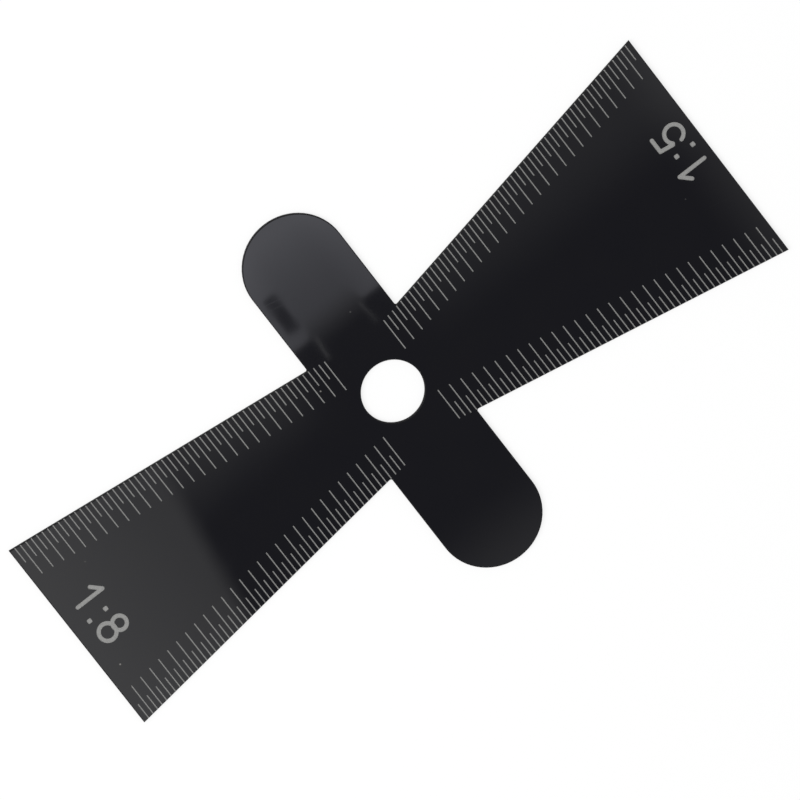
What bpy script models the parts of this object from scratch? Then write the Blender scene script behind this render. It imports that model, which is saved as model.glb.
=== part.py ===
"""Double-ended dovetail marker: one flat sheet, cut to a bow tie with a round-ended crossbar.

The slanted edges of one arm lie at 1:5 and those of the other arm at 1:8. All four carry a
graduation that is counted inwards from the wide ends, with every second line long.
+X runs along the blade towards the 1:5 end, +Y along the crossbar and +Z out of the marked
face. The origin is on the underside, on the axis of the hole.
"""

import math

import bmesh
import bpy
from mathutils import Matrix, Vector

MM = 0.001

# Sheet
SHEET_THICKNESS = 0.8 * MM
EDGE_BREAK = 0.15 * MM
INNER_CORNER_RADIUS = 0.3 * MM

# Arms. A slope's run is the distance along the blade for one unit of rise, and a waist is
# the width across both slanted edges where the arm leaves the crossbar.
ARM_LENGTH = 55.0 * MM
STEEP_RUN = 5.0
STEEP_WAIST = 22.0 * MM
SHALLOW_RUN = 8.0
SHALLOW_WAIST = 22.75 * MM

# Crossbar, over its round ends
CROSSBAR_WIDTH = 17.5 * MM
CROSSBAR_LENGTH = 70.0 * MM

# Hole in the middle
HOLE_DIAMETER = 10.4 * MM

# Graduation, engraved from the marked face
DIVISION = 1.0 * MM
LONG_LINE_EVERY = 2
LONG_LINE = 6.0 * MM
SHORT_LINE = 3.0 * MM
LINE_WIDTH = 0.2 * MM
LINE_DEPTH = 0.1 * MM
HOLE_MARGIN = 0.4 * MM

# How far a cutter stands past the face or edge that it cuts through
OVERRUN = 0.5 * MM

# Facets along the round stretches, and lines to one facet of a slanted edge
TIP_STEPS = 32
INNER_CORNER_STEPS = 5
HOLE_STEPS = 64
LINES_PER_FACET = 5

# Colours as linear RGB
COAT_BLACK = (0.011, 0.011, 0.012, 1.0)
MARK_GREY = (0.36, 0.36, 0.34, 1.0)


def clear_scene():
    for item in list(bpy.data.objects):
        bpy.data.objects.remove(item, do_unlink=True)


def add_material(name, colour, roughness, metallic):
    material = bpy.data.materials.new(name)
    material.use_nodes = True
    shader = material.node_tree.nodes["Principled BSDF"]
    shader.inputs["Base Color"].default_value = colour
    shader.inputs["Roughness"].default_value = roughness
    shader.inputs["Metallic"].default_value = metallic
    material.diffuse_color = colour
    return material


def add_object(name, bm, material):
    mesh = bpy.data.meshes.new(name)
    bm.to_mesh(mesh)
    bm.free()
    mesh.materials.append(material)
    item = bpy.data.objects.new(name, mesh)
    bpy.context.scene.collection.objects.link(item)
    return item


class Arm:
    """One flared arm: its direction along X, and the line that its two edges lie on."""

    def __init__(self, direction, waist, run):
        self.direction = direction
        self.waist = waist
        self.run = run

    def half_width(self, distance):
        """Half the width across the slanted edges, at a distance from the middle."""
        return self.waist / 2 + (distance - CROSSBAR_WIDTH / 2) / self.run

    def edge_point(self, distance, side):
        return Vector((self.direction * distance, side * self.half_width(distance)))


BLADE_HALF_LENGTH = CROSSBAR_WIDTH / 2 + ARM_LENGTH
STEEP_ARM = Arm(1, STEEP_WAIST, STEEP_RUN)
SHALLOW_ARM = Arm(-1, SHALLOW_WAIST, SHALLOW_RUN)


def arc(centre, radius, start, end, steps):
    """Points on an arc from one angle to another, both ends included."""
    points = []
    for step in range(steps + 1):
        angle = start + (end - start) * step / steps
        points.append(centre + radius * Vector((math.cos(angle), math.sin(angle))))
    return points


def rounded_corner(before, corner, after, radius, steps):
    """The arc that rounds a corner, tangent to the straight lines on both sides of it."""
    to_before = (before - corner).normalized()
    to_after = (after - corner).normalized()
    half_angle = to_before.angle(to_after) / 2
    centre = corner + (to_before + to_after).normalized() * radius / math.sin(half_angle)
    first = corner + to_before * radius / math.tan(half_angle) - centre
    last = corner + to_after * radius / math.tan(half_angle) - centre
    start = math.atan2(first.y, first.x)
    turn = math.atan2(first.cross(last), first.dot(last))
    return arc(centre, radius, start, start + turn, steps)


def slanted_edge(arm, side):
    """One slanted edge from the wide end inwards, with the rounded corner at the crossbar.

    It has a point every few divisions, halfway between two lines, so that no long thin facet
    runs past a row of line ends.
    """
    corner = arm.edge_point(CROSSBAR_WIDTH / 2, side)
    arm_end = arm.edge_point(BLADE_HALF_LENGTH, side)
    crossbar_end = Vector((corner.x, side * CROSSBAR_LENGTH / 2))
    points = [arm_end]
    distance = BLADE_HALF_LENGTH - DIVISION * (LINES_PER_FACET - 0.5)
    while distance > CROSSBAR_WIDTH / 2 + 2 * INNER_CORNER_RADIUS:
        points.append(arm.edge_point(distance, side))
        distance -= DIVISION * LINES_PER_FACET
    points += rounded_corner(arm_end, corner, crossbar_end, INNER_CORNER_RADIUS, INNER_CORNER_STEPS)
    return points


def sheet_outline():
    """The outline of the whole sheet, anticlockwise from the upper corner of the 1:5 end."""
    tip_radius = CROSSBAR_WIDTH / 2
    tip_centre = Vector((0, CROSSBAR_LENGTH / 2 - tip_radius))
    outline = slanted_edge(STEEP_ARM, 1)
    outline += arc(tip_centre, tip_radius, 0, math.pi, TIP_STEPS)
    outline += reversed(slanted_edge(SHALLOW_ARM, 1))
    outline += slanted_edge(SHALLOW_ARM, -1)
    outline += arc(-tip_centre, tip_radius, math.pi, 2 * math.pi, TIP_STEPS)
    outline += reversed(slanted_edge(STEEP_ARM, -1))
    return outline


def make_sheet(material):
    """The cut sheet, with the sharp edge of both faces taken off all round."""
    bm = bmesh.new()
    corners = [bm.verts.new((point.x, point.y, 0)) for point in sheet_outline()]
    underside = bm.faces.new(corners)
    raised = bmesh.ops.extrude_face_region(bm, geom=[underside])
    top = [item for item in raised["geom"] if isinstance(item, bmesh.types.BMVert)]
    bmesh.ops.translate(bm, verts=top, vec=(0, 0, SHEET_THICKNESS))
    bmesh.ops.recalc_face_normals(bm, faces=bm.faces)
    rims = [edge for edge in bm.edges if edge.verts[0].co.z == edge.verts[1].co.z]
    bmesh.ops.bevel(bm, geom=rims, offset=EDGE_BREAK, offset_type="OFFSET", affect="EDGES",
                    segments=1, profile=0.5, material=-1)
    return add_object("marker_plate", bm, material)


def make_hole_cutter(material):
    """A turned cutter for the hole, flared at both faces so that it breaks their edges too."""
    radius = HOLE_DIAMETER / 2
    flare = EDGE_BREAK + OVERRUN
    profile = [(0, SHEET_THICKNESS + OVERRUN), (radius + flare, SHEET_THICKNESS + OVERRUN),
               (radius, SHEET_THICKNESS - EDGE_BREAK), (radius, EDGE_BREAK),
               (radius + flare, -OVERRUN), (0, -OVERRUN)]
    bm = bmesh.new()
    points = [bm.verts.new((distance, 0, height)) for distance, height in profile]
    lines = [bm.edges.new(pair) for pair in zip(points, points[1:])]
    bmesh.ops.spin(bm, geom=points + lines, cent=(0, 0, 0), axis=(0, 0, 1), angle=2 * math.pi,
                   steps=HOLE_STEPS, use_merge=True)
    bmesh.ops.remove_doubles(bm, verts=bm.verts, dist=OVERRUN / 1000)
    bmesh.ops.recalc_face_normals(bm, faces=bm.faces)
    return add_object("hole_cutter", bm, material)


def line_distances():
    """Each line's distance from the middle and its length, from the wide end inwards."""
    innermost = HOLE_DIAMETER / 2 + HOLE_MARGIN
    count = math.floor((BLADE_HALF_LENGTH - innermost) / DIVISION)
    lines = []
    for number in range(1, count + 1):
        length = LONG_LINE if number % LONG_LINE_EVERY == 0 else SHORT_LINE
        lines.append((BLADE_HALF_LENGTH - number * DIVISION, length))
    return lines


def add_line_cutter(bm, arm, side, distance, length):
    """A box for one line. It runs out over the slanted edge, but where the crossbar carries
    the sheet on past that edge, it stops on the line of the edge."""
    half_line = LINE_WIDTH / 2
    inner_end = arm.half_width(distance) - length
    outer_end = arm.half_width(distance)
    if distance - half_line >= CROSSBAR_WIDTH / 2:
        outer_end = arm.half_width(distance + half_line) + OVERRUN
    height = LINE_DEPTH + OVERRUN
    size = Matrix.Diagonal((LINE_WIDTH, outer_end - inner_end, height, 1))
    place = Matrix.Translation((arm.direction * distance, side * (inner_end + outer_end) / 2,
                                SHEET_THICKNESS - LINE_DEPTH + height / 2))
    bmesh.ops.create_cube(bm, size=1, matrix=place @ size)


def make_graduation_cutter(material):
    bm = bmesh.new()
    for arm in (STEEP_ARM, SHALLOW_ARM):
        for side in (1, -1):
            for distance, length in line_distances():
                add_line_cutter(bm, arm, side, distance, length)
    return add_object("graduation_cutter", bm, material)


def cut(item, cutter):
    """Cut one object with another. The cut faces take the cutter's material."""
    modifier = item.modifiers.new(cutter.name, "BOOLEAN")
    modifier.operation = "DIFFERENCE"
    modifier.solver = "EXACT"
    modifier.material_mode = "TRANSFER"
    modifier.object = cutter
    cutter.hide_render = True
    cutter.display_type = "WIRE"


def split_into_triangles(item):
    """Well-shaped triangles for the notched faces, whose corners lie in long straight rows."""
    modifier = item.modifiers.new("triangles", "TRIANGULATE")
    modifier.quad_method = "BEAUTY"
    modifier.ngon_method = "BEAUTY"


clear_scene()
black_coat = add_material("black_coat", COAT_BLACK, roughness=0.12, metallic=0.0)
laser_marking = add_material("laser_marking", MARK_GREY, roughness=0.6, metallic=0.0)
plate = make_sheet(black_coat)
cut(plate, make_hole_cutter(black_coat))
cut(plate, make_graduation_cutter(laser_marking))
split_into_triangles(plate)
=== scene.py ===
"""Looks of the dovetail marker: gloss black coat, laser-marked graduation and slope figures."""

import math

import bmesh
import bpy
from mathutils import Matrix, Vector


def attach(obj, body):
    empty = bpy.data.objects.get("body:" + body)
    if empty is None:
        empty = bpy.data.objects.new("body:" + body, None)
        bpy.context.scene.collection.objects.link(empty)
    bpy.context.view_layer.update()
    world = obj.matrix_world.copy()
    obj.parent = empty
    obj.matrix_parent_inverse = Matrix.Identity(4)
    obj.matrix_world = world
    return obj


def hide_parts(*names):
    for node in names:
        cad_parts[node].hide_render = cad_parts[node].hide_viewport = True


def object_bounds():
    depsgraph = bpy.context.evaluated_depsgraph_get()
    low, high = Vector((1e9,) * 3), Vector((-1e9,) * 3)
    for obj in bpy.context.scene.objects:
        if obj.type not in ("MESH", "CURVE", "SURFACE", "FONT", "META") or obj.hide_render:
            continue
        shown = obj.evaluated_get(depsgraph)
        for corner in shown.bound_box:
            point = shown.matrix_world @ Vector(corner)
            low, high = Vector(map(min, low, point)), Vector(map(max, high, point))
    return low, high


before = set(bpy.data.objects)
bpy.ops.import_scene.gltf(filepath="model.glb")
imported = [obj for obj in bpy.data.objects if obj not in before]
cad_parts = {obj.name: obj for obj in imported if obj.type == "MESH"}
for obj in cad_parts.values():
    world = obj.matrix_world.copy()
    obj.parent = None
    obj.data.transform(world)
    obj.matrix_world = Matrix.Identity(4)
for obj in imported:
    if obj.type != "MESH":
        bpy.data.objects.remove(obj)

MM = 0.001
cad_low, cad_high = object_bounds()


# The sheet is one flat blank, cut to a bow tie with a round-ended crossbar and a hole in the
# middle. It has a gloss black coat all over, with the faint peel, wipe marks, hairlines and
# dust that such a coat shows close to.
MERGE_DISTANCE = 0.0001 * MM
COAT_BLACK = (0.0078, 0.0079, 0.0106)
COAT_CLOUD = (0.0092, 0.0091, 0.0112)
DUST_GREY = (0.16, 0.155, 0.145)
COAT_IOR = 1.46
COAT_ROUGHNESS = 0.04
WIPE_ROUGHNESS = 0.02
HAIRLINE_ROUGHNESS = 0.1
DUST_ROUGHNESS = 0.5
PEEL_SIZE = 1.6 * MM
PEEL_HEIGHT = 0.0004 * MM
CLOUD_SIZE = 9.0 * MM
WIPE_LENGTH = 40.0 * MM
WIPE_WIDTH = 5.0 * MM
WIPE_ANGLE = math.radians(28)
HAIRLINE_LENGTH = 25.0 * MM
HAIRLINE_SPACING = 0.28 * MM
HAIRLINE_ANGLES = (math.radians(-12), math.radians(57))
DUST_SPACING = 6.5 * MM
DUST_SIZE = 0.03

# Where in its noise each mark starts and where it is at its full strength
WIPE_SHARE = (0.35, 0.75)
HAIRLINE_SHARE = (0.72, 0.8)
DUST_SHARE = (0.5, 0.62)


class Signal:
    """An output socket of a node tree. Arithmetic on signals adds its Math nodes."""

    def __init__(self, finish, socket):
        self.finish = finish
        self.socket = socket

    def math(self, operation, first, second):
        return self.finish.node("ShaderNodeMath", {"operation": operation}, {0: first, 1: second})

    def __add__(self, other):
        return self.math("ADD", self, other)

    def __radd__(self, other):
        return self.math("ADD", other, self)

    def __sub__(self, other):
        return self.math("SUBTRACT", self, other)

    def __rsub__(self, other):
        return self.math("SUBTRACT", other, self)

    def __mul__(self, other):
        return self.math("MULTIPLY", self, other)

    def __rmul__(self, other):
        return self.math("MULTIPLY", other, self)


class Finish:
    """A material, with the patterns that its shader reads."""

    def __init__(self, name):
        self.material = bpy.data.materials.new(name)
        self.material.use_nodes = True
        self.tree = self.material.node_tree
        self.shader = self.tree.nodes["Principled BSDF"]
        self.place = self.node("ShaderNodeTexCoord", {}, {}, "Object")

    def node(self, kind, settings, inputs, output=0):
        """A new node with its settings and sockets filled in, as a signal from one output."""
        item = self.tree.nodes.new(kind)
        for name, value in settings.items():
            setattr(item, name, value)
        for name, value in inputs.items():
            if isinstance(value, Signal):
                self.tree.links.new(value.socket, item.inputs[name])
            else:
                item.inputs[name].default_value = value
        return Signal(self, item.outputs[output])

    def feed(self, socket, value):
        """Links a signal to one of the shader's sockets, or sets a constant on it."""
        if isinstance(value, Signal):
            self.tree.links.new(value.socket, self.shader.inputs[socket])
        else:
            self.shader.inputs[socket].default_value = value

    def noise(self, size, detail, place=None):
        """Cloudy noise from 0 to 1 whose blots are about one size across."""
        inputs = {"Vector": place or self.place, "Scale": 1 / size, "Detail": detail}
        return self.node("ShaderNodeTexNoise", {}, inputs, "Fac")

    def streaks(self, length, spacing, angle):
        """Noise drawn out into streaks of one length and spacing, at an angle to +X."""
        turned = self.node("ShaderNodeMapping", {}, {
            "Vector": self.place, "Rotation": (0, 0, -angle),
        })
        drawn = self.node("ShaderNodeMapping", {}, {
            "Vector": turned, "Scale": (1 / length, 1 / spacing, 1 / length),
        })
        return self.noise(1.0, detail=1.0, place=drawn)

    def step(self, signal, low, high):
        """0 where a signal is under low and 1 where it is over high, with a smooth rise."""
        inputs = {"Value": signal, "From Min": low, "From Max": high}
        return self.node("ShaderNodeMapRange", {"interpolation_type": "SMOOTHSTEP"}, inputs)

    def specks(self, spacing, size):
        """Small round dots, one to a cell, with a size given as a share of the spacing."""
        cells = self.node("ShaderNodeTexVoronoi", {}, {
            "Vector": self.place, "Scale": 1 / spacing, "Randomness": 1.0,
        }, "Distance")
        return 1 - self.step(cells, size / 2, size)

    def mix(self, factor, first, second):
        """A colour between two, given as linear RGB or as signals."""
        ends = [item if isinstance(item, Signal) else (*item, 1) for item in (first, second)]
        inputs = {0: factor, 6: ends[0], 7: ends[1]}
        return self.node("ShaderNodeMix", {"data_type": "RGBA"}, inputs, 2)

    def bump(self, height, distance):
        return self.node("ShaderNodeBump", {}, {"Height": height, "Distance": distance})


def gloss_black_coat():
    coat = Finish("gloss_black_coat")
    clouds = coat.noise(CLOUD_SIZE, detail=3.0)
    wipes = coat.step(coat.streaks(WIPE_LENGTH, WIPE_WIDTH, WIPE_ANGLE), *WIPE_SHARE)
    hairlines = 0
    for angle in HAIRLINE_ANGLES:
        streaks = coat.streaks(HAIRLINE_LENGTH, HAIRLINE_SPACING, angle)
        hairlines = hairlines + coat.step(streaks, *HAIRLINE_SHARE)
    dusty = coat.step(coat.noise(CLOUD_SIZE, detail=1.0), *DUST_SHARE)
    dust = coat.specks(DUST_SPACING, DUST_SIZE) * dusty
    colour = coat.mix(clouds, COAT_BLACK, COAT_CLOUD)
    coat.feed("Base Color", coat.mix(dust, colour, DUST_GREY))
    coat.feed("Roughness", COAT_ROUGHNESS + WIPE_ROUGHNESS * wipes
              + HAIRLINE_ROUGHNESS * hairlines + DUST_ROUGHNESS * dust)
    coat.feed("Normal", coat.bump(coat.noise(PEEL_SIZE, detail=2.0), PEEL_HEIGHT))
    coat.feed("IOR", COAT_IOR)
    return coat.material


def merged_copy(node, name):
    """A CAD node's mesh as a new piece, with its loose triangles joined at their corners and
    without the normals that they came with."""
    piece = bpy.data.objects.new(name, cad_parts[node].data.copy())
    bpy.context.scene.collection.objects.link(piece)
    piece.data.attributes.remove(piece.data.attributes["custom_normal"])
    bm = bmesh.new()
    bm.from_mesh(piece.data)
    bmesh.ops.remove_doubles(bm, verts=bm.verts, dist=MERGE_DISTANCE)
    bm.to_mesh(piece.data)
    bm.free()
    piece.data.materials.clear()
    return piece


sheet = merged_copy("marker_plate", "marker_sheet")
sheet.data.materials.append(gloss_black_coat())


# The cut edge runs all round the outline and the hole, with the sharp corners broken. The
# laser leaves it dull black, with fine upright cutting ridges.
EDGE_BLACK = (0.008, 0.008, 0.009)
EDGE_SOOT = (0.014, 0.0135, 0.0135)
EDGE_ROUGHNESS = 0.55
EDGE_GLOSS = 0.08
RIDGE_SPACING = 0.1 * MM
RIDGE_HEIGHT = 0.006 * MM

# A face whose normal rises less than this, out of 1, is part of the edge
FLAT_FACE_RISE = 0.9


def cut_edge_finish():
    edge = Finish("cut_edge")
    upright = edge.node("ShaderNodeMapping", {}, {
        "Vector": edge.place, "Scale": (1 / RIDGE_SPACING, 1 / RIDGE_SPACING, 0),
    })
    ridges = edge.noise(1.0, detail=2.0, place=upright)
    edge.feed("Base Color", edge.mix(ridges, EDGE_BLACK, EDGE_SOOT))
    edge.feed("Roughness", EDGE_ROUGHNESS)
    edge.feed("Specular IOR Level", EDGE_GLOSS)
    edge.feed("Normal", edge.bump(ridges, RIDGE_HEIGHT))
    return edge.material


def is_on_the_edge(face):
    return abs(face.normal.z) < FLAT_FACE_RISE


sheet.data.materials.append(cut_edge_finish())


# The graduation is burnt into the coat by a laser, one line to a millimetre. The coat is
# frosted pale grey in the bottom of each shallow line.
LINE_DEPTH = 0.1 * MM
DEPTH_TOLERANCE = 0.005 * MM
MARK_PALE = (0.288, 0.288, 0.28)
MARK_BURN = (0.195, 0.195, 0.191)
MARK_ROUGHNESS = 0.62
MARK_GRAIN = 0.12 * MM
MARK_GRAIN_SHARE = (0.35, 0.7)
MARK_GRAIN_HEIGHT = 0.008 * MM

# How far a normal rises, out of 1: at most, on a line's walls, and at least, on its bottom
WALL_RISE = 0.1
BOTTOM_RISE = 0.99


def laser_mark_finish():
    """Frosted coat: pale, with darker burnt grains that also make it rough to the touch."""
    mark = Finish("laser_mark")
    grain = mark.noise(MARK_GRAIN, detail=2.0)
    mark.feed("Base Color", mark.mix(mark.step(grain, *MARK_GRAIN_SHARE), MARK_PALE, MARK_BURN))
    mark.feed("Roughness", MARK_ROUGHNESS)
    mark.feed("Normal", mark.bump(grain, MARK_GRAIN_HEIGHT))
    return mark.material


def is_in_a_line(face):
    """True for the bottoms and walls of the shallow lines that end at the marked face."""
    lowest = cad_high.z - LINE_DEPTH - DEPTH_TOLERANCE
    is_shallow = all(vert.co.z > lowest for vert in face.verts)
    is_wall = abs(face.normal.z) < WALL_RISE
    is_level = face.normal.z > BOTTOM_RISE
    is_sunk = face.calc_center_median().z < cad_high.z - LINE_DEPTH / 2
    return is_shallow and (is_wall or is_level and is_sunk)


def give_out_finishes(piece):
    """The coat stays on the flat faces, and the edge and the lines get their own finishes."""
    bm = bmesh.new()
    bm.from_mesh(piece.data)
    for face in bm.faces:
        finish = "gloss_black_coat"
        if is_in_a_line(face):
            finish = "laser_mark"
        elif is_on_the_edge(face):
            finish = "cut_edge"
        face.material_index = piece.data.materials.find(finish)
    bm.to_mesh(piece.data)
    bm.free()


laser_mark = laser_mark_finish()
sheet.data.materials.append(laser_mark)
give_out_finishes(sheet)


# The slope figures are marked by the same laser, in round-ended strokes. Each reads with its
# top towards the middle of the marker, near the wide end of its arm. Their measures run from
# the foot of the 1, across to the right and up.
FIGURE_DEPTH = 0.1 * MM
FIGURE_HEIGHT = 5.8 * MM
STROKE_WIDTH = 0.71 * MM
STROKE_MERGE = 0.001 * MM
ONE_FOOT = 0.1 * MM
ONE_FLAG_END = (-1.48 * MM, 4.0 * MM)
COLON_OFFSET = 3.0 * MM
COLON_LOW = 0.61 * MM
COLON_HIGH = 3.84 * MM
COLON_SIZE = 0.8 * MM
COLON_CORNER = COLON_SIZE / 4
LAST_OFFSET = 6.3 * MM
FIVE_BAR_SIDES = (-1.0 * MM, 1.35 * MM)
FIVE_BACK_LOW = (-1.35 * MM, 3.17 * MM)
BOWL_HEIGHT = 2.0 * MM
BOWL_RADIUS = 1.57 * MM
BOWL_START = math.radians(138)
BOWL_SWEEP = math.radians(302)
LOOP_WIDENING = 1.05
STEEP_FIGURE_X = 62.4 * MM
STEEP_FIGURE_Y = -1.1 * MM
SHALLOW_FIGURE_X = -61.2 * MM
SHALLOW_FIGURE_Y = 3.85 * MM
SMOOTH_ANGLE = math.radians(30)

# The loops of the 8: the height of each one's centre, and its radius
LARGE_LOOP = (1.78 * MM, 1.42 * MM)
SMALL_LOOP = (4.19 * MM, 1.16 * MM)

# Facets of a round end, of a bend that goes all round, of a loop and of a dot's corner
ROUND_STEPS = 10
BEND_STEPS = 36
LOOP_STEPS = 41
CORNER_STEPS = 4


def add_prism(cutters, bm):
    """Raises a flat outline into a closed cutter, which stands as far out of the face as it
    cuts into it, and adds it to the others."""
    bmesh.ops.remove_doubles(bm, verts=bm.verts, dist=STROKE_MERGE)
    raised = bmesh.ops.extrude_face_region(bm, geom=bm.faces[:])
    top = [item for item in raised["geom"] if isinstance(item, bmesh.types.BMVert)]
    bmesh.ops.translate(bm, verts=top, vec=(0, 0, 2 * FIGURE_DEPTH))
    bmesh.ops.recalc_face_normals(bm, faces=bm.faces)
    mesh = bpy.data.meshes.new("stroke")
    bm.to_mesh(mesh)
    bm.free()
    cutters.from_mesh(mesh)
    bpy.data.meshes.remove(mesh)


class Stroke:
    """A round-ended stroke. Its nib is an edge across it with a point in the middle: extruded
    it draws a straight run, spun it draws a bend, and half of it spun draws a round end."""

    def __init__(self, start, heading):
        self.bm = bmesh.new()
        self.heading = Vector((math.cos(heading), math.sin(heading), 0))
        start = Vector((*start, 0))
        across = self.left() * STROKE_WIDTH / 2
        points = [self.bm.verts.new(place) for place in (start + across, start, start - across)]
        self.nib = points + [self.bm.edges.new(points[:2]), self.bm.edges.new(points[1:])]
        self.round_end(-math.pi)

    def left(self):
        return Vector((-self.heading.y, self.heading.x, 0))

    def round_end(self, angle):
        half = [self.nib[1], self.nib[2], self.nib[4]]
        bmesh.ops.spin(self.bm, geom=half, cent=self.nib[1].co, axis=(0, 0, 1), angle=angle,
                       steps=ROUND_STEPS)

    def take_nib(self, geom):
        """Finds the new nib in what an extrusion or a spin made, with its left point first."""
        left = self.left()
        points = sorted((item for item in geom if isinstance(item, bmesh.types.BMVert)),
                        key=lambda point: -point.co.dot(left))
        self.nib = points + [self.bm.edges.get(points[:2]), self.bm.edges.get(points[1:])]

    def run(self, length):
        made = bmesh.ops.extrude_edge_only(self.bm, edges=self.nib[3:])
        points = [item for item in made["geom"] if isinstance(item, bmesh.types.BMVert)]
        bmesh.ops.translate(self.bm, verts=points, vec=self.heading * length)
        self.take_nib(points)
        return self

    def bend(self, radius, angle):
        """An arc to the left for a positive angle."""
        centre = self.nib[1].co + self.left() * math.copysign(radius, angle)
        steps = round(BEND_STEPS * abs(angle) / (2 * math.pi))
        made = bmesh.ops.spin(self.bm, geom=self.nib, cent=centre, axis=(0, 0, 1), angle=angle,
                              steps=steps)
        self.heading = Matrix.Rotation(angle, 3, "Z") @ self.heading
        self.take_nib(made["geom_last"])
        return self

    def add_to(self, cutters):
        self.round_end(math.pi)
        add_prism(cutters, self.bm)


def add_straight(cutters, start, end):
    along = Vector(end) - Vector(start)
    Stroke(start, math.atan2(along.y, along.x)).run(along.length).add_to(cutters)


def add_loop(cutters, height, radius):
    """A loop of the 8, a little wider than it is tall. Its steps are odd in number, so that
    where two loops overlap no edge of one lies along an edge of the other."""
    bm = bmesh.new()
    inner = bm.verts.new((radius - STROKE_WIDTH / 2, 0, 0))
    outer = bm.verts.new((radius + STROKE_WIDTH / 2, 0, 0))
    nib = [inner, outer, bm.edges.new((inner, outer))]
    bmesh.ops.spin(bm, geom=nib, cent=(0, 0, 0), axis=(0, 0, 1), angle=2 * math.pi,
                   steps=LOOP_STEPS, use_merge=True)
    bmesh.ops.scale(bm, verts=bm.verts, vec=(LOOP_WIDENING, 1, 1))
    bmesh.ops.translate(bm, verts=bm.verts, vec=(LAST_OFFSET, height, 0))
    add_prism(cutters, bm)


def add_dot(cutters, centre):
    """A square dot with well rounded corners."""
    bm = bmesh.new()
    bmesh.ops.create_grid(bm, x_segments=1, y_segments=1, size=COLON_SIZE / 2)
    bmesh.ops.bevel(bm, geom=bm.verts[:], offset=COLON_CORNER, offset_type="OFFSET",
                    affect="VERTICES", segments=CORNER_STEPS, profile=0.5, material=-1)
    bmesh.ops.translate(bm, verts=bm.verts, vec=(*centre, 0))
    add_prism(cutters, bm)


def add_one(cutters):
    """The figure 1: a long slanted flag and a stem, a little short of the round figures' feet."""
    stem_low = (0, STROKE_WIDTH / 2 + ONE_FOOT)
    stem_high = (0, FIGURE_HEIGHT - STROKE_WIDTH / 2)
    add_straight(cutters, ONE_FLAG_END, stem_high)
    add_straight(cutters, stem_high, stem_low)


def add_colon(cutters):
    add_dot(cutters, (COLON_OFFSET, COLON_LOW))
    add_dot(cutters, (COLON_OFFSET, COLON_HIGH))


def add_five(cutters):
    """The figure 5: a bar, a leaning back and an open round bowl."""
    bar_height = FIGURE_HEIGHT - STROKE_WIDTH / 2
    back_high = (LAST_OFFSET + FIVE_BAR_SIDES[0], bar_height)
    back_low = (LAST_OFFSET + FIVE_BACK_LOW[0], FIVE_BACK_LOW[1])
    add_straight(cutters, back_high, (LAST_OFFSET + FIVE_BAR_SIDES[1], bar_height))
    add_straight(cutters, back_high, back_low)
    out = Vector((math.cos(BOWL_START), math.sin(BOWL_START)))
    start = Vector((LAST_OFFSET, BOWL_HEIGHT)) + BOWL_RADIUS * out
    Stroke(start, BOWL_START - math.pi / 2).bend(BOWL_RADIUS, -BOWL_SWEEP).add_to(cutters)


def add_eight(cutters):
    """The figure 8: a small loop on a larger one."""
    add_loop(cutters, *LARGE_LOOP)
    add_loop(cutters, *SMALL_LOOP)


def make_slope_cutter(name, add_last, x, y, reading):
    """A cutter for one slope, with its 1 standing at x, y and reading along +Y or -Y."""
    cutters = bmesh.new()
    add_one(cutters)
    add_colon(cutters)
    add_last(cutters)
    place = Matrix.Translation((x, y, cad_high.z - FIGURE_DEPTH))
    turn = Matrix.Rotation(reading * math.pi / 2, 4, "Z")
    bmesh.ops.transform(cutters, matrix=place @ turn, verts=cutters.verts)
    mesh = bpy.data.meshes.new(name)
    cutters.to_mesh(mesh)
    cutters.free()
    mesh.materials.append(laser_mark)
    cutter = bpy.data.objects.new(name, mesh)
    bpy.context.scene.collection.objects.link(cutter)
    return cutter


def engrave(piece, cutter):
    """Cuts the figures into the face at once. Their bottoms and walls take the cutter's finish."""
    modifier = piece.modifiers.new("figures", "BOOLEAN")
    modifier.operation = "DIFFERENCE"
    modifier.solver = "EXACT"
    modifier.use_self = True
    modifier.material_mode = "TRANSFER"
    modifier.object = cutter
    evaluated = piece.evaluated_get(bpy.context.evaluated_depsgraph_get())
    mesh = bpy.data.meshes.new_from_object(evaluated)
    piece.modifiers.clear()
    piece.data = mesh
    bpy.data.objects.remove(cutter, do_unlink=True)


engrave(sheet, make_slope_cutter("steep_slope", add_five, STEEP_FIGURE_X, STEEP_FIGURE_Y, 1))
engrave(sheet, make_slope_cutter("shallow_slope", add_eight, SHALLOW_FIGURE_X, SHALLOW_FIGURE_Y, -1))
sheet.data.shade_smooth()
sheet.data.set_sharp_from_angle(angle=SMOOTH_ANGLE)
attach(sheet, "root")
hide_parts("marker_plate")


# The camera looks down on the marker from its +Y side, a little off square, with the blade
# turned across the picture.
CAMERA_TILT = math.radians(18)
BLADE_TURN = math.radians(37.866)
CAMERA_DISTANCE = 2500 * MM
CAMERA_LENS = 706.5
CAMERA_SENSOR = 36.0
CAMERA_REACH = 20.0

# How far the middle of the picture lies from the origin, in the picture's own directions
AIM_RIGHT = 1.244 * MM
AIM_UP = -1.546 * MM

toward = Vector((0, math.sin(CAMERA_TILT), math.cos(CAMERA_TILT)))
along = Vector((1, 0, 0))
across = toward.cross(along)
right = along * math.cos(BLADE_TURN) - across * math.sin(BLADE_TURN)
up = along * math.sin(BLADE_TURN) + across * math.cos(BLADE_TURN)
camera = bpy.data.objects.new("camera", bpy.data.cameras.new("camera"))
bpy.context.scene.collection.objects.link(camera)
camera.matrix_world = Matrix.Translation(
    right * AIM_RIGHT + up * AIM_UP + toward * CAMERA_DISTANCE
) @ Matrix((right, up, toward)).transposed().to_4x4()
camera.data.lens = CAMERA_LENS
camera.data.sensor_width = CAMERA_SENSOR
camera.data.clip_end = CAMERA_REACH
bpy.context.scene.camera = camera


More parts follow.
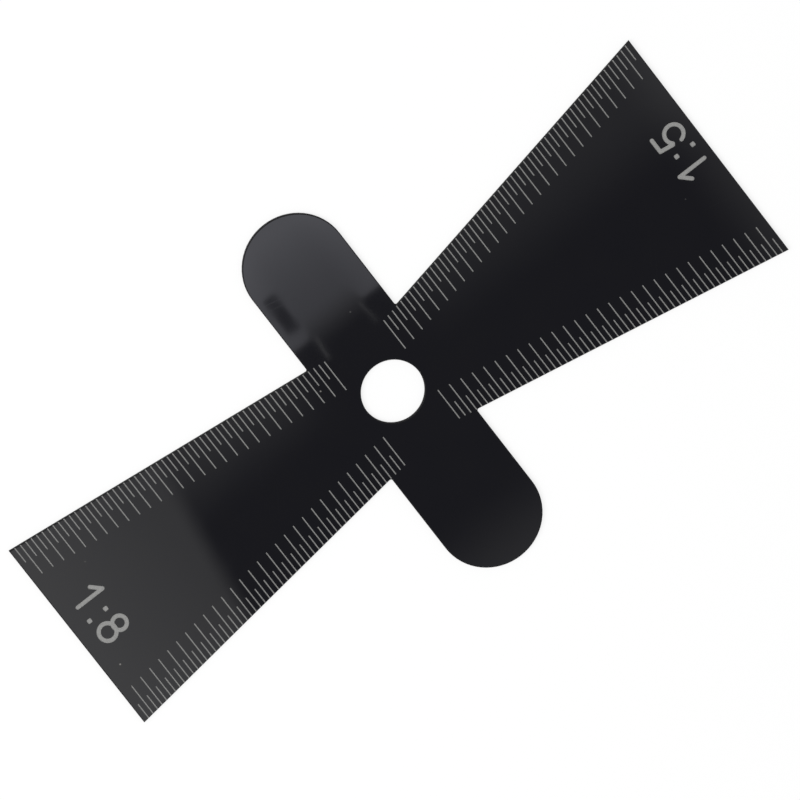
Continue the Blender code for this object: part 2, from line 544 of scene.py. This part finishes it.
# The floor and the world are white to the eye and in reflections, and pale grey as light
# sources, so that the coat is lit at a plain level and the floor keeps the marker's shadow.
FLOOR_SIZE = 12.0
FLOOR_GAP = 0.03 * MM
FLOOR_WHITE = (0.97, 0.97, 0.97)
FLOOR_ROUGHNESS = 0.9
FLOOR_GLOW_SHARE = 0.8
WORLD_LIGHT = 0.62


def seen_directly(finish):
    """1 for rays from the eye or by way of a reflection, and 0 for rays that carry light."""
    rays = 0
    for name in ("Is Camera Ray", "Is Glossy Ray", "Is Transmission Ray"):
        rays = rays + finish.node("ShaderNodeLightPath", {}, {}, name)
    return finish.node("ShaderNodeClamp", {}, {"Value": rays})


def white_floor_finish():
    """White paper whose own colour is mixed with a plain glow for the rays that see it."""
    paper = Finish("floor_paper")
    paper.feed("Base Color", (*FLOOR_WHITE, 1))
    paper.feed("Roughness", FLOOR_ROUGHNESS)
    paper.feed("Specular IOR Level", 0.0)
    glow = paper.node("ShaderNodeEmission", {}, {"Color": (1, 1, 1, 1), "Strength": 1.0})
    both = paper.node("ShaderNodeMixShader", {}, {
        0: seen_directly(paper) * FLOOR_GLOW_SHARE,
        1: Signal(paper, paper.shader.outputs[0]),
        2: glow,
    })
    paper.tree.links.new(both.socket, paper.tree.nodes["Material Output"].inputs["Surface"])
    return paper.material


def add_stage_plane(name, half_length, half_width, height, finish):
    """A level plane with its middle over the origin, which isn't part of the object."""
    bm = bmesh.new()
    bmesh.ops.create_grid(bm, x_segments=1, y_segments=1, size=1)
    bmesh.ops.scale(bm, verts=bm.verts, vec=(half_length, half_width, 1))
    bmesh.ops.translate(bm, verts=bm.verts, vec=(0, 0, height))
    mesh = bpy.data.meshes.new(name)
    bm.to_mesh(mesh)
    bm.free()
    mesh.materials.append(finish)
    plane = bpy.data.objects.new(name, mesh)
    bpy.context.scene.collection.objects.link(plane)
    return plane


add_stage_plane("floor", FLOOR_SIZE / 2, FLOOR_SIZE / 2, cad_low.z - FLOOR_GAP, white_floor_finish())

world = bpy.data.worlds.new("white_room")
world.use_nodes = True
bpy.context.scene.world = world


class Room(Finish):
    """The world's node tree, under the same few calls as a material's."""

    def __init__(self):
        self.tree = world.node_tree
        self.shader = self.tree.nodes["Background"]


room = Room()
room.feed("Color", (1, 1, 1, 1))
room.feed("Strength", WORLD_LIGHT + (1 - WORLD_LIGHT) * seen_directly(room))


# A studio panel hangs where the camera sees it mirrored in the gloss coat. It is black over
# the middle of the marker and opens into soft white over the 1:8 end and the upper tab. Its
# sizes are those of its mirror image on the marked face.
PANEL_HEIGHT = 120 * MM
PANEL_HALF_LENGTH = 78 * MM
PANEL_HALF_WIDTH = 50 * MM
PANEL_WHITE = (1.0, 1.0, 0.99)
BLACK_LEVEL = 0.035

# The white over the 1:8 end, from its border out to the end
LEFT_EDGE = (-40.4 * MM, -36.4 * MM)
LEFT_EDGE_LEAN = 0.14
LEFT_LEVEL = (0.74, 1.15)
LEFT_RISE = (42 * MM, 63 * MM)

# The bluish white over the upper tab. Its border is sharp at the tab's sides and drawn out
# over the tab's middle, and it brightens towards the sides and the tip.
TAB_TINT = (0.99, 1.0, 1.09)
TAB_EDGE = 14.95 * MM
TAB_EDGE_SOFT = 0.9 * MM
TAB_MIDDLE = (4.3 * MM, 5.7 * MM)
TAB_MIDDLE_SOFT = (2.45 * MM, 3.85 * MM)
TAB_SIDES = (12 * MM, 20 * MM)
TAB_LEVEL = 0.93
TAB_TIP_GLOW = 0.83
TAB_TIP_RISE = (16.5 * MM, 33 * MM)
TAB_SIDE_GLOW = 0.35
TAB_SIDE_RISE = (3 * MM, 9.5 * MM)

# A dark bar in that white
BAR_SIDES = (-8.0 * MM, -7.3 * MM, -5.7 * MM, -5.0 * MM)
BAR_ENDS = (17.5 * MM, 18.4 * MM, 24.7 * MM, 25.5 * MM)
BAR_LEVEL = 0.2

# Two thin light lines at the foot of that white, one each side of the middle. They lean
# together towards the tip, and the left one glows more than the right one.
FOOT_LINE_PLACE = (5.75 * MM, 5.9 * MM, 6.0 * MM, 6.15 * MM)
FOOT_LINE_LEAN = 0.1
FOOT_LINE_ENDS = (10.6 * MM, 11.4 * MM, 14.8 * MM, 15.6 * MM)
FOOT_LINE_GLOW = (1.9, 1.1)
FOOT_LINE_TURN = (-1 * MM, 1 * MM)

# Faint glows in the black: at the 1:5 end, over the upper half of each arm and at the lower
# tab's tip
RIGHT_GLOW = 0.4
RIGHT_GLOW_RISE = (56 * MM, 68 * MM)
LEFT_SIDE_GLOW = 0.4
RIGHT_SIDE_GLOW = 0.24
SIDE_GLOW_RISE = (0 * MM, 14 * MM)
SIDE_GLOW_START = (6 * MM, 18 * MM)
TIP_GLOW = 0.42
TIP_GLOW_RISE = (22 * MM, 40 * MM)


def mirrored_place(height):
    """Maps a point of the marked face to where a panel at this height shows behind it, as the
    camera sees it mirrored there."""
    eye = camera.matrix_world.translation.copy()
    eye.z = 2 * cad_high.z - eye.z
    grown = (height - eye.z) / (cad_high.z - eye.z)
    spread = Matrix.Diagonal((grown, grown, 1, 1))
    shift = Matrix.Translation((eye.x * (1 - grown), eye.y * (1 - grown), height))
    return shift @ spread


def panel_finish():
    """The panel's brightness, worked out from the place in its mirror image."""
    panel = Finish("studio_panel")
    x = panel.node("ShaderNodeSeparateXYZ", {}, {0: panel.place}, "X")
    y = panel.node("ShaderNodeSeparateXYZ", {}, {0: panel.place}, "Y")
    out = panel.node("ShaderNodeMath", {"operation": "ABSOLUTE"}, {0: x})

    def between(value, edges):
        """1 between the inner two of four edges and 0 past the outer two, with smooth sides."""
        return panel.step(value, edges[0], edges[1]) * (1 - panel.step(value, edges[2], edges[3]))

    def rise(value, places, levels):
        """A straight rise from one level to the other between two places."""
        inputs = {"Value": value, "From Min": places[0], "From Max": places[1],
                  "To Min": levels[0], "To Max": levels[1]}
        return panel.node("ShaderNodeMapRange", {}, inputs)

    sides = (LEFT_SIDE_GLOW * panel.step(-1 * x, *SIDE_GLOW_START)
             + RIGHT_SIDE_GLOW * panel.step(x, *SIDE_GLOW_START))
    black = (BLACK_LEVEL + sides * panel.step(y, *SIDE_GLOW_RISE)
             + RIGHT_GLOW * panel.step(x, *RIGHT_GLOW_RISE)
             + TIP_GLOW * panel.step(-1 * y, *TIP_GLOW_RISE))
    foot_lines = between(out + FOOT_LINE_LEAN * y, FOOT_LINE_PLACE) * between(y, FOOT_LINE_ENDS)
    black = black + foot_lines * rise(x, FOOT_LINE_TURN, FOOT_LINE_GLOW)
    middle = 1 - panel.step(out, *TAB_MIDDLE)
    over_tab = (1 - panel.step(out, *TAB_SIDES)) * panel.step(
        y, TAB_EDGE - TAB_MIDDLE_SOFT[0] * middle,
        TAB_EDGE + TAB_EDGE_SOFT + TAB_MIDDLE_SOFT[1] * middle)
    swell = rise(y, TAB_TIP_RISE, (0, 1))
    white = (TAB_LEVEL + TAB_TIP_GLOW * swell * swell
             + TAB_SIDE_GLOW * panel.step(out, *TAB_SIDE_RISE))
    bar = between(x, BAR_SIDES) * between(y, BAR_ENDS)
    tab = white * (1 - bar) + BAR_LEVEL * bar
    over_left = 1 - panel.step(x - LEFT_EDGE_LEAN * y, *LEFT_EDGE)
    left = rise(-1 * x, LEFT_RISE, LEFT_LEVEL)
    level = black * (1 - over_tab) + tab * over_tab
    level = level * (1 - over_left) + left * over_left
    tint = panel.mix(over_tab, PANEL_WHITE, TAB_TINT)
    panel.feed("Base Color", (0, 0, 0, 1))
    panel.feed("Specular IOR Level", 0.0)
    panel.feed("Emission Color", panel.node("ShaderNodeVectorMath", {"operation": "SCALE"}, {
        "Vector": tint, "Scale": level,
    }))
    panel.feed("Emission Strength", 1.0)
    return panel.material


panel = add_stage_plane("studio_panel", PANEL_HALF_LENGTH, PANEL_HALF_WIDTH, 0, panel_finish())
panel.matrix_world = mirrored_place(PANEL_HEIGHT)
panel.visible_camera = False
panel.visible_diffuse = False
panel.visible_shadow = False
panel.visible_transmission = False


# One wide soft lamp stands over the upper left of the picture and gives the thin sheet its
# faint shadow.
LAMP_SIZE = 0.9
LAMP_PLACE = Vector((-0.75, 0.55, 1.1))
LAMP_POWER = 13.0

lamp_data = bpy.data.lights.new("soft_lamp", "AREA")
lamp_data.shape = "SQUARE"
lamp_data.size = LAMP_SIZE
lamp_data.energy = LAMP_POWER
lamp = bpy.data.objects.new("soft_lamp", lamp_data)
bpy.context.scene.collection.objects.link(lamp)
lamp.location = LAMP_PLACE
lamp.rotation_mode = "QUATERNION"
lamp.rotation_quaternion = (-LAMP_PLACE).to_track_quat("-Z", "Y")
lamp.visible_camera = False

bpy.context.scene.view_settings.view_transform = "Standard"
